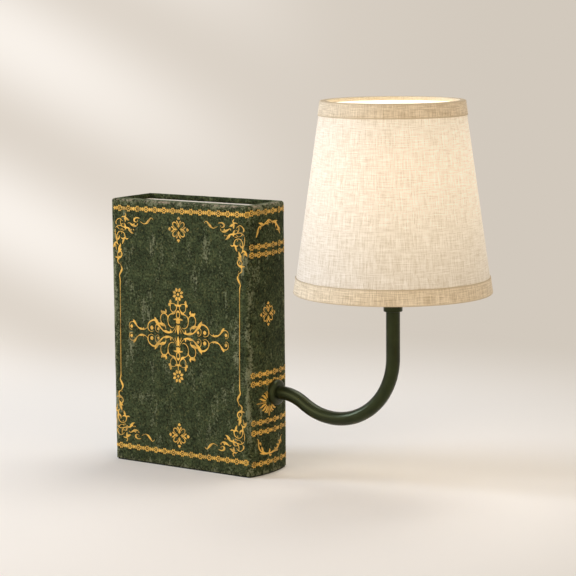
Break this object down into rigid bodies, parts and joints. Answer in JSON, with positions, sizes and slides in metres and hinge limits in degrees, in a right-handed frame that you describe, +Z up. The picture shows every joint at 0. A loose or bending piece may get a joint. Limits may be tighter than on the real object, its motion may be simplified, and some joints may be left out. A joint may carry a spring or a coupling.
{
  "type": "bookend lamp",
  "caption": "Weighted box in the shape of an old book with a bent tube arm out of its spine, carrying a lampholder, a bulb and a tapered linen shade.",
  "frame": {"origin": "middle of the book's felt underside, on the surface that the lamp stands on", "axes": "+X out of the book's spine towards the shade, -Y out of the front cover, +Z up"},
  "size_m": [0.3843, 0.179, 0.3526],
  "materials": {
    "velvet": "printed cotton velvet, dark olive with a gold print",
    "fibreboard": "raw medium-density fibreboard",
    "card": "cream card over board",
    "felt": "dark green felt",
    "iron": "as cast",
    "zinc_steel": "zinc plated",
    "dark_paint": "satin dark olive-black paint",
    "phenolic": "black phenolic moulding",
    "white_plastic": "natural polyamide",
    "lead_sheath": "round two-core lead",
    "brass": "plain brass",
    "clear_glass": "clear glass",
    "filament": "yellow phosphor coating",
    "linen": "natural linen on a stiff liner",
    "tape": "folded linen tape",
    "white_wire": "white enamelled wire"
  },
  "bodies": {
    "base": {"cover_cloth": "velvet", "front_board": "fibreboard", "back_board": "fibreboard", "spine_board": "fibreboard", "fore_edge_board": "fibreboard", "base_board": "fibreboard", "glue_block_1": "fibreboard", "glue_block_2": "fibreboard", "glue_block_3": "fibreboard", "glue_block_4": "fibreboard", "page_panel": "card", "felt_pad": "felt", "ballast_weight": "iron", "base_screw_1": "zinc_steel", "base_screw_2": "zinc_steel", "base_screw_3": "zinc_steel", "base_screw_4": "zinc_steel", "ballast_screw_1": "zinc_steel", "ballast_screw_2": "zinc_steel", "block_screw": "zinc_steel", "backing_plate": "zinc_steel", "arm_nipple": "zinc_steel", "arm_washer": "zinc_steel", "arm_lock_nut": "zinc_steel", "holder_nipple": "zinc_steel", "holder_washer": "zinc_steel", "holder_lock_nut": "zinc_steel", "arm_flange": "dark_paint", "arm_tube": "dark_paint", "arm_collar": "dark_paint", "cord_bushing": "phenolic", "bushing_nut": "phenolic", "holder_cap": "phenolic", "holder_insulator": "phenolic", "holder_shell": "phenolic", "shade_ring": "phenolic", "terminal_block": "white_plastic", "inner_lead": "lead_sheath", "clamp_screw_1": "brass", "clamp_screw_2": "brass", "clamp_screw_3": "brass", "clamp_screw_4": "brass", "screw_shell": "brass", "centre_contact": "brass"},
    "switch": {"switch_stem": "brass", "switch_rotor": "brass", "switch_knob": "phenolic"},
    "bulb_tip": {"bulb_contact": "zinc_steel"},
    "bulb": {"bulb_insulator": "phenolic", "bulb_cap": "zinc_steel", "bulb_glass": "clear_glass", "bulb_stem": "clear_glass", "bulb_filaments": "filament"},
    "shade": {"shade_fabric": "linen", "top_band": "tape", "bottom_band": "tape", "top_wire": "white_wire", "shade_fitter": "white_wire"}
  },
  "joints": [
    {"name": "switch_turn", "type": "hinge", "parent": "base", "child": "switch", "pos_m": [0.21264, -0.024, 0.1819], "axis": [0, -1, 0], "continuous": true},
    {"name": "shade_turn", "type": "hinge", "parent": "base", "child": "shade", "pos_m": [0.21264, 0.005, 0.1908], "axis": [0, 0, 1], "continuous": true},
    {"name": "bulb_rise", "type": "slide", "parent": "base", "child": "bulb_tip", "axis": [0, 0, 1], "range_m": [0, 0.018]},
    {"name": "bulb_turn", "type": "hinge", "parent": "bulb_tip", "child": "bulb", "pos_m": [0.21264, 0.005, 0.22], "axis": [0, 0, 1], "range_deg": [0, 1800]}
  ],
  "couplings": [
    {"joint": "bulb_rise", "follows": "bulb_turn", "m_per_rad": 0.00057295}
  ]
}
